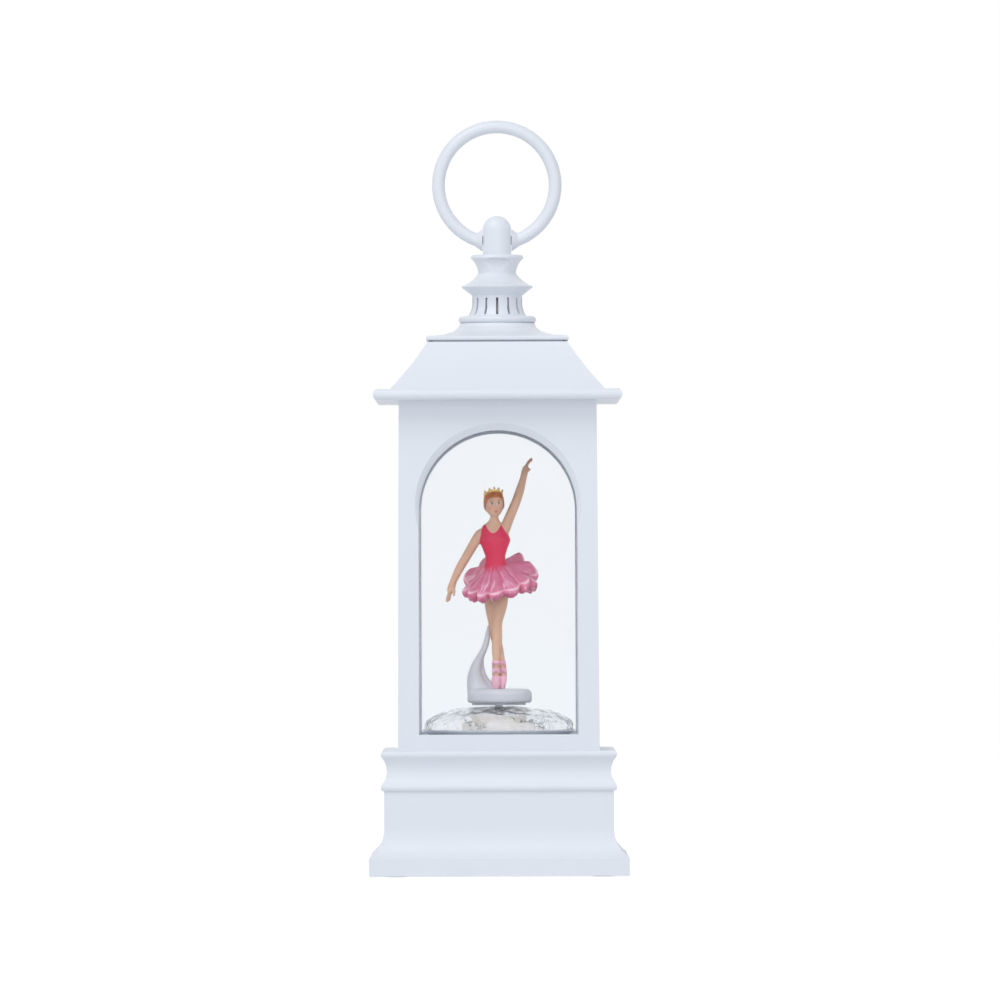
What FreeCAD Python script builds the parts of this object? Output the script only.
import FreeCAD, Part
import math
import os
import re
import Sketcher
from FreeCAD import Placement, Rotation, Vector

# Lantern-shaped musical box with a turning dancer. Origin: bottom centre; +Z up; the front faces -Y.
# Each row: name, value (millimetres unless the meaning says otherwise), meaning.
SIZES = [
    ("rim_gap", "0.3", "plinth rim above the table"),
    ("foot_width", "95.6", "plinth foot across the flats"),
    ("foot_face", "6.3", "upright face of the foot"),
    ("foot_sweep", "11.1", "height of the hollow sweep above the foot"),
    ("plinth_width", "84.4", "plinth wall across the flats"),
    ("plinth_wall_rise", "13.8", "height of the plain plinth wall"),
    ("lip_width", "86.8", "both beads across the flats"),
    ("lip_round", "0.5", "how far a bead stands out"),
    ("bead_rise", "2.4", "height of a bead"),
    ("cove_rise", "9.7", "height of the cove between the beads"),
    ("cove_depth", "1.7", "depth of the cove"),
    ("shell_wall", "2.2", "moulded wall"),
    ("deck_thick", "2.5", "top of the plinth"),
    ("body_width", "74.2", "window body at its foot"),
    ("body_top_width", "72.8", "window body at its top"),
    ("body_rise", "129.0", "height of the window body"),
    ("body_wall", "2.2", "wall of the window body at its top"),
    ("post_side", "4.0", "corner post inside the body"),
    ("window_width", "57.8", "clear width of a window"),
    ("window_sill", "6.0", "sill above the plinth"),
    ("window_spring", "89.0", "start of the arch above the plinth"),
    ("bevel_side", "0.4", "bevel along a window's sides, across"),
    ("bevel_crown", "3.3", "bevel at the top of a window's arch, across"),
    ("bevel_fade", "8.0", "foot of the arch's bevel, below the start of the arch"),
    ("bevel_depth", "1.6", "bevel round a window, inwards"),
    ("pane_thick", "1.4", "clear pane"),
    ("fit_play", "0.1", "play of a loose flat fit"),
    ("eave_width", "91.6", "eave across the flats"),
    ("eave_rise", "4.0", "thickness of the eave"),
    ("eave_nose", "1.2", "rounding of the eave edge"),
    ("roof_low_width", "79.2", "roof slope at its foot"),
    ("roof_top_width", "51.6", "roof slope at its top"),
    ("roof_rise", "17.8", "height of the roof slope"),
    ("roof_sag", "0.5", "hollow of the roof slope"),
    ("roof_wall", "2.2", "wall of the roof"),
    ("tab_length", "50.0", "tab that plugs the roof into the body"),
    ("tab_drop", "4.0", "depth of a roof tab"),
    ("tab_thick", "1.6", "thickness of a roof tab"),
    ("cap_width", "52.8", "roof cap across the flats"),
    ("cap_seat_width", "48.0", "seat under the roof cap"),
    ("cap_seat_rise", "0.6", "shadow gap under the cap rim"),
    ("cap_rim_rise", "1.6", "thickness of the cap rim"),
    ("cap_nose", "0.5", "rounding of the cap rim"),
    ("cap_flare_rise", "5.2", "height of the cap flare"),
    ("cap_neck_radius", "13.9", "top of the cap flare"),
    ("roll_circle", "13.05", "middle radius of the round moulding"),
    ("roll_radius", "1.35", "half thickness of the round moulding"),
    ("collar_radius", "9.3", "vent collar at its top"),
    ("collar_foot_radius", "10.9", "vent collar at its foot"),
    ("collar_rise", "7.7", "height of the vent collar"),
    ("collar_flare", "5.0", "height of the flared foot of the collar"),
    ("collar_wall", "1.6", "wall of the vent collar"),
    ("slot_count", "14", "vent slots, number"),
    ("slot_width", "0.9", "width of a vent slot"),
    ("slot_low", "0.5", "solid ring below the slots"),
    ("slot_rise", "6.2", "height of a slot"),
    ("brim_radius", "13.2", "sharp brim of the finial"),
    ("brim_rise", "3.0", "brim above the collar"),
    ("brim_edge", "0.4", "thickness of the brim edge"),
    ("skirt_sag", "0.55", "hollow of the finial's slope from neck to brim"),
    ("neck_radius", "7.05", "neck of the finial"),
    ("neck_low", "8.1", "foot of the neck above the collar"),
    ("crown_radius", "9.75", "crown of the finial"),
    ("crown_rise", "5.7", "flare from neck to crown"),
    ("crown_lip", "1.3", "rounded edge of the crown"),
    ("scoop_radius", "9.8", "arch of the scoop under the crown, front and back"),
    ("scoop_width", "11.6", "width of a scoop"),
    ("scoop_lip", "1.2", "rim of the crown over a scoop"),
    ("scoop_depth", "0.3", "depth of a scoop into the neck"),
    ("hinge_post_width", "10.5", "hinge post across"),
    ("hinge_post_depth", "12.4", "hinge post front to back"),
    ("hinge_post_rise", "14.4", "hinge post above the crown"),
    ("pivot_rise", "5.5", "ring pivot above the crown"),
    ("ring_radius", "21.7", "carrying ring, middle circle"),
    ("ring_tube", "2.38", "carrying ring, half thickness"),
    ("ring_centre_rise", "20.5", "ring centre above the pivot"),
    ("boss_radius", "4.1", "flared end of the ring"),
    ("boss_length", "4.2", "length of a flared end"),
    ("boss_throat", "1.3", "thin end of the flare, inside the ring"),
    ("boss_lap", "0.8", "how far the ring stops short of a flared end's face"),
    ("boss_gap", "0.15", "gap between a flared end and the post"),
    ("stub_radius", "1.6", "pivot stub of the ring"),
    ("stub_length", "4.0", "reach of a stub into the post"),
    ("run_play", "0.05", "radial play of a running fit"),
    ("bolt_radius", "1.5", "tie bolt shank"),
    ("bolt_head_radius", "3.4", "tie bolt head"),
    ("bolt_head_rise", "2.4", "tie bolt head height"),
    ("bolt_reach", "9.0", "tie bolt reach into the finial"),
    ("screw_radius", "0.9", "small screw shank"),
    ("screw_head_radius", "1.8", "small screw head"),
    ("screw_head_rise", "1.1", "small screw head height"),
    ("floor_rise", "5.0", "chamber floor above the plinth"),
    ("floor_hole_radius", "24.0", "opening in the chamber floor"),
    ("stage_radius", "28.4", "stage ring under the dome"),
    ("stage_bevel", "3.2", "slope under the stage ring's rim, inwards"),
    ("stage_edge", "0.4", "upright face of the stage ring's rim"),
    ("stage_thick", "2.3", "stage ring thickness"),
    ("dome_radius", "28.0", "clear dome at its foot"),
    ("dome_rise", "8.7", "height of the clear dome"),
    ("dome_wall", "1.6", "wall of the clear dome"),
    ("dome_hole_radius", "3.2", "spindle hole in the dome"),
    ("table_gap", "0.4", "gap between dome and turntable"),
    ("table_radius", "10.0", "turntable disc"),
    ("table_thick", "0.8", "turntable disc thickness"),
    ("stand_radius", "11.95", "figure stand"),
    ("stand_rise", "5.2", "height of the figure stand"),
    ("stand_round", "2.2", "rounding of the figure stand"),
    ("gear_module", "0.5", "gear module"),
    ("small_teeth", "10", "teeth of the motor pinion and of the small idler gear, number"),
    ("idler_teeth", "24", "teeth of the large idler gear, number"),
    ("spindle_teeth", "30", "teeth of the spindle gear, number"),
    ("gear_backlash", "0.07", "thinning of a tooth at its pitch circle"),
    ("gear_play", "0.05", "extra centre distance of a gear pair"),
    ("gear_low_rise", "2.4", "thickness of the lower gears"),
    ("gear_high_rise", "2.8", "thickness of the upper gears"),
    ("gear_gap", "0.45", "height clearance between gears and walls"),
    ("pinion_bearing", "-32", "direction from idler to motor, degrees from +X"),
    ("box_width", "27.2", "gearbox, left to right"),
    ("box_front", "10.4", "gearbox in front of the spindle"),
    ("box_back", "18.2", "gearbox behind the spindle"),
    ("box_wall", "1.4", "gearbox wall"),
    ("box_floor", "2.0", "gearbox floor plate"),
    ("hub_radius", "10.2", "spindle bearing on the gearbox"),
    ("hub_rise", "3.0", "height of the spindle bearing"),
    ("spindle_radius", "1.5", "spindle"),
    ("axle_radius", "0.75", "idler axle and motor shaft"),
    ("motor_radius", "6.5", "motor can"),
    ("motor_length", "19.0", "motor can length"),
    ("motor_screw_reach", "4.0", "motor screw from the motor shaft"),
    ("motor_pilot", "3.0", "reach of a motor screw into the can"),
    ("lamp_offset", "18.6", "lamp board from the spindle"),
    ("lamp_radius", "1.5", "lamp"),
    ("lamp_rise", "3.4", "lamp height"),
    ("lamp_spread", "4.0", "lamp from the middle of its board"),
    ("lamp_board_width", "7.0", "lamp board, left to right"),
    ("lamp_board_depth", "15.0", "lamp board, front to back"),
    ("lamp_board_thick", "1.0", "lamp board"),
    ("pad_radius", "4.5", "rubber foot"),
    ("pad_rise", "1.6", "rubber foot thickness"),
    ("pad_inset", "9.8", "middle of a rubber foot in from the plinth edge"),
    ("cover_thick", "2.0", "bottom cover plate"),
    ("cover_play", "0.2", "play round the bottom cover and the battery door"),
    ("cover_post_x", "36.0", "cover screw post, sideways"),
    ("cover_post_y", "24.0", "cover screw post, front to back"),
    ("cover_post_radius", "3.2", "cover screw post"),
    ("cover_pilot", "7.0", "reach of a cover screw into its post"),
    ("body_pilot", "9.0", "reach of a body screw into its post"),
    ("cell_radius", "7.1", "battery cell"),
    ("cell_length", "49.0", "battery cell without its button"),
    ("cell_button", "1.5", "button of a cell"),
    ("button_radius", "2.7", "button of a cell, radius"),
    ("cell_gap", "0.7", "gap between cells"),
    ("cell_lift", "0.6", "cells above the cover plate"),
    ("tray_middle", "11.0", "middle of the battery tray behind the spindle"),
    ("contact_room", "1.75", "room for a contact at each end of the cells"),
    ("tray_play", "0.4", "play in front of and behind the cells"),
    ("tray_head", "1.4", "room over the cells"),
    ("tray_wall", "1.6", "battery tray wall"),
    ("door_thick", "1.6", "battery door"),
    ("ear_width", "8.0", "screw ear of the door"),
    ("ear_reach", "6.5", "reach of a screw ear"),
    ("ear_rise", "5.0", "screw boss over an ear"),
    ("door_pilot", "3.0", "reach of a door screw into its boss"),
    ("contact_thick", "0.4", "battery contact plate"),
    ("contact_rise", "10.0", "battery contact plate height"),
    ("tongue_side", "4.0", "contact tongue, across"),
    ("speaker_x", "-18.0", "loudspeaker, sideways"),
    ("speaker_y", "-27.0", "loudspeaker, front to back"),
    ("speaker_radius", "12.0", "loudspeaker frame"),
    ("speaker_rise", "4.6", "loudspeaker frame height"),
    ("magnet_radius", "6.5", "loudspeaker magnet"),
    ("magnet_rise", "3.2", "loudspeaker magnet height"),
    ("speaker_lip", "2.4", "flat edge of the loudspeaker frame"),
    ("speaker_edge", "1.4", "thickness of the loudspeaker's flat edge"),
    ("speaker_wall", "0.8", "wall of the loudspeaker frame"),
    ("speaker_eye", "2.0", "hole in the back of the loudspeaker frame"),
    ("cone_wall", "0.6", "thickness of the loudspeaker cone"),
    ("cone_hub", "3.0", "flat middle of the loudspeaker cone"),
    ("grille_radius", "0.9", "grille hole"),
    ("grille_pitch", "4.0", "distance between the rings of grille holes"),
    ("switch_x", "17.0", "slide switch, sideways"),
    ("switch_y", "-28.0", "slide switch, front to back"),
    ("switch_travel", "4.0", "travel of the switch knob"),
    ("switch_depth", "7.0", "switch housing, front to back"),
    ("switch_rise", "4.0", "switch housing height"),
    ("nest_depth", "4.4", "hollow of the switch housing, front to back"),
    ("knob_length", "3.0", "switch knob, along its travel"),
    ("knob_width", "2.4", "switch knob, across"),
    ("knob_drop", "0.7", "switch knob above the table"),
    ("slider_length", "4.4", "slider under the knob, along its travel"),
    ("slider_width", "3.8", "slider under the knob, across"),
    ("board_length", "48.0", "sound board, left to right"),
    ("board_depth", "21.0", "sound board, front to back"),
    ("board_thick", "1.6", "sound board"),
    ("chip_side", "8.0", "sound chip"),
    ("chip_rise", "1.4", "sound chip height"),
    ("plug_rise", "4.0", "lead socket height"),
    ("capacitor_radius", "2.5", "capacitor"),
    ("capacitor_rise", "6.0", "capacitor height"),
    ("horn_low_x", "-7.0", "stand horn at its root, sideways"),
    ("horn_low_radius", "3.9", "stand horn at its root"),
    ("horn_bend_x", "-8.2", "stand horn at its bend, sideways"),
    ("horn_bend_rise", "4.3", "bend above the stand"),
    ("horn_bend_radius", "2.9", "stand horn at its bend"),
    ("horn_mid_x", "-7.3", "stand horn at mid height, sideways"),
    ("horn_mid_rise", "8.8", "mid height above the stand"),
    ("horn_mid_radius", "2.1", "stand horn at mid height"),
    ("horn_high_x", "-5.2", "stand horn below its tip, sideways"),
    ("horn_high_rise", "14.7", "height below the tip"),
    ("horn_high_radius", "1.4", "stand horn below its tip"),
    ("horn_tip_x", "-3.7", "stand horn tip, sideways"),
    ("horn_tip_rise", "24.1", "tip above the stand"),
    ("horn_tip_radius", "0.5", "stand horn tip"),
    ("horn_back", "3.4", "tip behind the spindle"),
    ("hip_rise", "45.0", "hips above the stand"),
    ("thigh_rise", "30.4", "thighs above the stand"),
    ("knee_rise", "24.1", "knees above the stand"),
    ("calf_rise", "18.5", "calves above the stand"),
    ("ankle_rise", "10.4", "ankles above the stand"),
    ("arch_rise", "6.5", "insteps above the stand"),
    ("toe_rise", "2.0", "toe boxes above the stand"),
    ("toe_sink", "-0.3", "shoe tips in their sockets in the stand"),
    ("thigh_radius", "2.5", "thigh"),
    ("knee_radius", "1.85", "knee"),
    ("calf_radius", "1.95", "calf"),
    ("ankle_radius", "1.3", "ankle"),
    ("arch_radius", "1.75", "instep"),
    ("toe_radius", "1.5", "toe box"),
    ("tip_radius", "1.1", "shoe tip"),
    ("front_hip_x", "1.0", "front leg, sideways at the hip"),
    ("front_thigh_x", "0.6", "front leg, sideways at the thigh"),
    ("front_knee_x", "-0.4", "front leg, sideways at the knee"),
    ("front_calf_x", "-0.9", "front leg, sideways at the calf"),
    ("front_ankle_x", "-0.95", "front leg, sideways at the ankle"),
    ("front_toe_x", "-0.75", "front leg, sideways at the toes"),
    ("front_leg_y", "-0.6", "front leg, front to back"),
    ("back_hip_x", "-2.6", "back leg, sideways at the hip"),
    ("back_thigh_x", "-3.1", "back leg, sideways at the thigh"),
    ("back_knee_x", "-2.0", "back leg, sideways at the knee"),
    ("back_calf_x", "-0.4", "back leg, sideways at the calf"),
    ("back_ankle_x", "0.85", "back leg, sideways at the ankle"),
    ("back_toe_x", "1.7", "back leg, sideways at the toes"),
    ("back_leg_y", "1.5", "back leg, front to back"),
    ("skirt_radius", "13.4", "skirt hem"),
    ("skirt_x", "0.5", "skirt hem, sideways"),
    ("skirt_folds", "9", "folds of the skirt, number"),
    ("skirt_wave", "1.3", "height of a fold at the hem"),
    ("skirt_level", "40.0", "middle of the hem above the stand"),
    ("skirt_tilt", "7.0", "rise of the hem from middle to back"),
    ("skirt_edge", "0.9", "thickness of the hem"),
    ("skirt_gather", "1.5", "gathered top of the skirt below the waist"),
    ("skirt_root", "4.0", "height of the gathered top"),
    ("skirt_puff", "1.2", "puff of the skirt half way out"),
    ("skirt_seam", "0.3", "gathered top over and under the waist"),
    ("waist_rise", "48.7", "waist above the stand"),
    ("bust_rise", "55.4", "bust above the stand"),
    ("neckline_rise", "57.7", "neckline above the stand"),
    ("shoulder_rise", "60.2", "shoulders above the stand"),
    ("throat_rise", "61.8", "foot of the neck above the stand"),
    ("waist_x", "-1.05", "waist, sideways"),
    ("bust_x", "-1.4", "bust, sideways"),
    ("waist_half", "3.65", "half width of the waist"),
    ("bust_half", "5.5", "half width of the bust"),
    ("shoulder_half", "4.6", "half width of the shoulders"),
    ("throat_radius", "1.8", "neck"),
    ("waist_depth", "2.7", "half depth of the waist"),
    ("bust_depth", "3.5", "half depth of the bust"),
    ("shoulder_depth", "2.3", "half depth of the shoulders"),
    ("head_x", "-1.5", "head, sideways"),
    ("head_rise", "69.3", "middle of the head above the stand"),
    ("head_half", "3.5", "half width of the head"),
    ("head_depth", "4.0", "half depth of the head"),
    ("head_height", "4.8", "half height of the head"),
    ("hair_thick", "0.35", "hair over the head"),
    ("bun_radius", "2.2", "hair bun"),
    ("tiara_rise", "2.9", "tiara above the middle of the head"),
    ("tiara_radius", "3.3", "tiara band"),
    ("tiara_band", "0.9", "height of the tiara band"),
    ("tiara_point", "1.7", "height of a tiara point"),
    ("arm_forward", "-0.8", "arms, front to back"),
    ("upper_arm_radius", "1.6", "arm at the shoulder"),
    ("elbow_radius", "1.35", "arm at the elbow"),
    ("wrist_radius", "0.95", "arm at the wrist"),
    ("palm_radius", "1.05", "hand"),
    ("finger_radius", "0.4", "finger tips"),
    ("up_shoulder_x", "2.6", "raised arm, shoulder sideways"),
    ("up_shoulder_rise", "57.6", "raised arm, shoulder above the stand"),
    ("up_elbow_x", "6.7", "raised arm, elbow sideways"),
    ("up_elbow_rise", "70.4", "raised arm, elbow above the stand"),
    ("up_wrist_x", "10.1", "raised arm, wrist sideways"),
    ("up_wrist_rise", "79.0", "raised arm, wrist above the stand"),
    ("up_tip_x", "12.7", "raised arm, finger tips sideways"),
    ("up_tip_rise", "85.9", "raised arm, finger tips above the stand"),
    ("down_shoulder_x", "-5.6", "lowered arm, shoulder sideways"),
    ("down_shoulder_rise", "58.2", "lowered arm, shoulder above the stand"),
    ("down_elbow_x", "-11.6", "lowered arm, elbow sideways"),
    ("down_elbow_rise", "49.5", "lowered arm, elbow above the stand"),
    ("down_wrist_x", "-16.6", "lowered arm, wrist sideways"),
    ("down_wrist_rise", "40.1", "lowered arm, wrist above the stand"),
    ("down_tip_x", "-19.3", "lowered arm, finger tips sideways"),
    ("down_tip_rise", "32.1", "lowered arm, finger tips above the stand"),
]
NAMES = [name for name, value, meaning in SIZES]

doc = FreeCAD.newDocument("MusicalLantern")
sheet = doc.addObject("Spreadsheet::Sheet", "Sizes")
for row, (name, value, meaning) in enumerate(SIZES, 1):
    sheet.set(f"A{row}", meaning)
    sheet.set(f"B{row}", value)
    sheet.setAlias(f"B{row}", name)
doc.recompute()


def bind(text):
    """Expression for a document object: every size name becomes a reference to the sheet."""
    return re.sub(r"[a-z][a-z_]*", lambda m: "Sizes." + m.group() if m.group() in NAMES else m.group(), text)


def num(text):
    """Number that an expression in size names has now."""
    return float(sheet.evalExpression(text))


PIECES = []


def piece(obj, label):
    obj.Label = label
    PIECES.append(obj)
    return obj


def place(obj, x="0", y="0", z="0", turn=None):
    if turn:
        obj.Placement = Placement(Vector(), turn)
    for axis, text in zip("xyz", (x, y, z)):
        obj.setExpression(f"Placement.Base.{axis}", bind(text))
    return obj


def sized(kind, **sizes):
    obj = doc.addObject(kind, kind.split("::")[1])
    for prop, text in sizes.items():
        obj.setExpression(prop, bind(text))
    return obj


def block(length, width, height, x, y, z):
    """Box by its sizes, the middle of its plan and its underside."""
    obj = sized("Part::Box", Length=length, Width=width, Height=height)
    return place(obj, f"{x} - ({length}) / 2", f"{y} - ({width}) / 2", z)


UPRIGHT = None
ALONG_X = Rotation(Vector(0, 1, 0), 90)
ALONG_Y = Rotation(Vector(1, 0, 0), -90)
FACING_FRONT = Rotation(Vector(1, 0, 0), 90)


def rod(radius, length, x, y, z, turn=UPRIGHT):
    return place(sized("Part::Cylinder", Radius=radius, Height=length), x, y, z, turn)


def fuse(*objs):
    obj = doc.addObject("Part::MultiFuse", "Fuse")
    obj.Shapes = list(objs)
    return obj


def cut(base, *tools):
    obj = doc.addObject("Part::Cut", "Cut")
    obj.Base = base
    obj.Tool = tools[0] if len(tools) == 1 else fuse(*tools)
    return obj


def common(first, second):
    obj = doc.addObject("Part::Common", "Common")
    obj.Base = first
    obj.Tool = second
    return obj


def group(*objs):
    obj = doc.addObject("Part::Compound", "Group")
    obj.Links = list(objs)
    return obj


def arc(start, stop, radius, side):
    """Arc of less than half a circle; 'bulge' turns left and 'hollow' turns right on the way."""
    step = stop - start
    sideways = Vector(-step.y, step.x, 0).normalize()
    reach = math.sqrt(max(radius ** 2 - step.Length ** 2 / 4, 0))
    centre = (start + stop) / 2 + sideways * (reach if side == "bulge" else -reach)
    circle = Part.Circle(centre, Vector(0, 0, 1), radius)
    first, last = (start, stop) if side == "bulge" else (stop, start)
    angles = [math.atan2(p.y - centre.y, p.x - centre.x) for p in (first, last)]
    return Part.ArcOfCircle(circle, *angles)


def trace(sketch, outline):
    """Closed, fully bound outline. A corner is (x, y), or (x, y, radius, side) at the end of an arc."""
    corners = [Vector(num(corner[0]), num(corner[1]), 0) for corner in outline]
    ends = []
    rules = []
    texts = {}
    for k, corner in enumerate(outline):
        start, stop = corners[k - 1], corners[k]
        if len(corner) == 2:
            edge = sketch.addGeometry(Part.LineSegment(start, stop))
            ends.append((edge, 1, 2))
        else:
            radius = num(corner[2])
            edge = sketch.addGeometry(arc(start, stop, radius, corner[3]))
            ends.append((edge, 1, 2) if corner[3] == "bulge" else (edge, 2, 1))
            texts[len(rules)] = corner[2]
            rules.append(Sketcher.Constraint("Radius", edge, radius))
    for k, (edge, head, tail) in enumerate(ends):
        before = ends[k - 1]
        rules.append(Sketcher.Constraint("Coincident", before[0], before[2], edge, head))
        for rule, axis, text, value in (("DistanceX", -2, outline[k][0], corners[k].x),
                                        ("DistanceY", -1, outline[k][1], corners[k].y)):
            if text == "0":
                rules.append(Sketcher.Constraint("PointOnObject", edge, tail, axis))
                continue
            texts[len(rules)] = text
            rules.append(Sketcher.Constraint(rule, edge, tail, value))
    first = sketch.ConstraintCount
    sketch.addConstraint(rules)
    for index, text in texts.items():
        sketch.setExpression(f"Constraints[{first + index}]", bind(text))


def mirrored(side):
    """Whole outline from its right-hand side, listed from bottom to top."""
    flip = ["0" if corner[0] == "0" else f"-({corner[0]})" for corner in side]
    whole = list(side)
    if side[-1][0] != "0":
        whole.append((flip[-1], side[-1][1]))
    for k in range(len(side) - 2, -1, -1):
        whole.append((flip[k], side[k][1], *side[k + 1][2:]))
    return whole


def box_outline(x, y, half_x, half_y):
    return [(f"{x} + {half_x}", f"{y} - {half_y}"), (f"{x} + {half_x}", f"{y} + {half_y}"),
            (f"{x} - {half_x}", f"{y} + {half_y}"), (f"{x} - {half_x}", f"{y} - {half_y}")]


def free_sketch(outline, turn, x="0", y="0", z="0"):
    sketch = doc.addObject("Sketcher::SketchObject", "Outline")
    trace(sketch, outline)
    return place(sketch, x, y, z, turn)


def extrude(sketch, length):
    """Straight both ways from the sketch plane, by half the length each way."""
    obj = sized("Part::Extrusion", LengthFwd=length)
    obj.Base = sketch
    obj.DirMode = "Normal"
    obj.Symmetric = True
    obj.Solid = True
    return obj


def square_moulding(side, width):
    """Square-plan moulding with mitred corners: one profile run across both ways."""
    whole = mirrored(side)
    across = extrude(free_sketch(whole, FACING_FRONT), width)
    along = extrude(free_sketch(whole, Rotation(Vector(0, 0, 1), 90) * FACING_FRONT), width)
    return common(across, along)


def loft(sections, ruled=True):
    obj = doc.addObject("Part::Loft", "Loft")
    obj.Sections = sections
    obj.Solid = True
    obj.Ruled = ruled
    return obj


def body_sketch(body, plane, *outlines, lift="0"):
    sketch = body.newObject("Sketcher::SketchObject", "Outline")
    support = next(feature for feature in body.Origin.OriginFeatures if feature.Role == plane)
    sketch.AttachmentSupport = [(support, "")]
    sketch.MapMode = "FlatFace"
    sketch.setExpression("AttachmentOffset.Base.z", bind(lift))
    for outline in outlines:
        trace(sketch, outline)
    return sketch


def turned(side):
    """Body of revolution about Z from an outline of radius and height."""
    body = doc.addObject("PartDesign::Body", "Turned")
    profile = body_sketch(body, "XZ_Plane", side)
    spin = body.newObject("PartDesign::Revolution", "Spin")
    spin.Profile = profile
    spin.ReferenceAxis = (profile, ["V_Axis"])
    spin.Angle = 360
    body.Tip = spin
    return body


def padded(outlines, thick, lift):
    """Flat plate from outlines in plan, with its underside at a level."""
    body = doc.addObject("PartDesign::Body", "Plate")
    pad = body.newObject("PartDesign::Pad", "Pad")
    pad.Profile = body_sketch(body, "XY_Plane", *outlines, lift=lift)
    pad.setExpression("Length", bind(thick))
    body.Tip = pad
    return body


def corner_set(x, y):
    """The four mirrored places of one place in plan."""
    return [(f"{sx}({x})", f"{sy}({y})") for sx in ("", "-") for sy in ("", "-")]


def screw(x, y, head_level, reach, head_up=True):
    """Small screw with its head on a level and its shank through the seat."""
    if head_up:
        head = rod("screw_head_radius", "screw_head_rise", x, y, head_level)
        shank = rod("screw_radius", reach, x, y, f"{head_level} - ({reach})")
    else:
        head = rod("screw_head_radius", "screw_head_rise", x, y, f"{head_level} - screw_head_rise")
        shank = rod("screw_radius", reach, x, y, head_level)
    return fuse(head, shank)


# Levels above the table.
FOOT = "rim_gap + foot_face"
SWEEP = f"{FOOT} + foot_sweep"
WALL = f"{SWEEP} + plinth_wall_rise"
COVE = f"{WALL} + bead_rise"
COVE_TOP = f"{COVE} + cove_rise"
DECK = f"{COVE_TOP} + bead_rise"
EAVE = f"{DECK} + body_rise"
EAVE_TOP = f"{EAVE} + eave_rise"
ROOF = f"{EAVE_TOP} + roof_rise"
CAP_RIM = f"{ROOF} + cap_seat_rise"
CAP_FLARE = f"{CAP_RIM} + cap_rim_rise"
ROLL = f"{CAP_FLARE} + cap_flare_rise + roll_radius"
CAP = f"{ROLL} + roll_radius"
COLLAR = f"{CAP} + collar_rise"
NECK = f"{COLLAR} + neck_low"
CROWN_EDGE = f"{NECK} + crown_rise"
CROWN = f"{CROWN_EDGE} + crown_lip"
PIVOT = f"{CROWN} + pivot_rise"
FLOOR = f"{DECK} + floor_rise"
STAGE = f"{FLOOR} + stage_thick"
DOME = f"{STAGE} + dome_rise"
TABLE = f"{DOME} + table_gap"
STAND = f"{TABLE} + table_thick"
FEET = f"{STAND} + stand_rise"
COVER = "pad_rise + cover_thick"
UNDER_DECK = f"{DECK} - deck_thick"


def crown_of(chord, rise):
    """Radius of the arc that stands a rise above its chord."""
    return f"(({chord}) ^ 2 / 4 + ({rise}) ^ 2) / (2 * ({rise}))"


# Plinth.
bead = crown_of("bead_rise", "lip_round")
lip = "lip_width / 2 - lip_round"
sweep_in = "(foot_width - plinth_width) / 2"
plinth_side = [
    ("foot_width / 2", "rim_gap"),
    ("foot_width / 2", FOOT),
    ("plinth_width / 2", SWEEP, f"(({sweep_in}) ^ 2 + foot_sweep ^ 2) / (2 * ({sweep_in}))", "hollow"),
    ("plinth_width / 2", WALL),
    (lip, WALL),
    (lip, COVE, bead, "bulge"),
    (lip, COVE_TOP, crown_of("cove_rise", "cove_depth"), "hollow"),
    (lip, DECK, bead, "bulge"),
]
inner = "lip_width / 2 - lip_round - cove_depth - shell_wall"
foot_inner = "foot_width / 2 - shell_wall"
cavity_side = [
    (foot_inner, "rim_gap - 1"),
    (foot_inner, f"{COVER} + 1"),
    (inner, f"{FOOT} + foot_sweep / 2"),
    (inner, UNDER_DECK),
]
shell = cut(square_moulding(plinth_side, "foot_width + 2"), square_moulding(cavity_side, "foot_width + 2"))
cover_places = corner_set("cover_post_x", "cover_post_y")
cover_posts = [rod("cover_post_radius", f"{UNDER_DECK} - ({COVER}) + deck_thick / 2", x, y, COVER)
               for x, y in cover_places]
body_inner = "body_top_width / 2 - body_wall"
post_middle = f"{body_inner} - post_side / 2"
body_places = corner_set(post_middle, post_middle)
box_screw_x = "box_width / 2 - box_wall - 1.2"
box_screws = [(f"-({box_screw_x})", "box_back - box_wall - 1.3"),
              (box_screw_x, "-(box_front - box_wall - 1.3)")]
idler_y = "gear_module * (small_teeth + spindle_teeth) / 2 + gear_play"
motor_reach = "(gear_module * (small_teeth + idler_teeth) / 2 + gear_play)"
motor_x = f"{motor_reach} * cos(pinion_bearing * 1 deg)"
motor_y = f"{idler_y} + {motor_reach} * sin(pinion_bearing * 1 deg)"
base_housing = cut(
    fuse(shell, *cover_posts),
    rod("motor_radius + 0.4", "deck_thick + 2", motor_x, motor_y, f"{UNDER_DECK} - 1"),
    *[rod("screw_radius", "cover_pilot + 1", x, y, f"{COVER} - 0.5") for x, y in cover_places],
    *[rod("screw_radius + fit_play", "deck_thick + 2", x, y, f"{UNDER_DECK} - 1") for x, y in body_places],
    *[rod("screw_radius", "deck_thick + 2", x, y, f"{UNDER_DECK} - 1") for x, y in box_screws],
)
piece(base_housing, "base_housing")

# Window body with one arched, bevelled window on each side.


def arch(side, crown, fade):
    """Window outline, let out at its sides and its crown, with the foot of its bow let down."""
    half = f"(window_width / 2 + {side})"
    foot = f"(window_spring - {fade})"
    rise = f"(window_width / 2 + {fade} + {crown})"
    bow = f"({half} ^ 2 + {rise} ^ 2) / (2 * {rise})"
    return [(half, "window_sill"), (half, foot), ("0", f"{foot} + {rise}", bow, "bulge"),
            (f"-{half}", foot, bow, "bulge"), (f"-{half}", "window_sill")]


def square_outline(width):
    return box_outline("0", "0", f"({width}) / 2", f"({width}) / 2")


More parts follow.
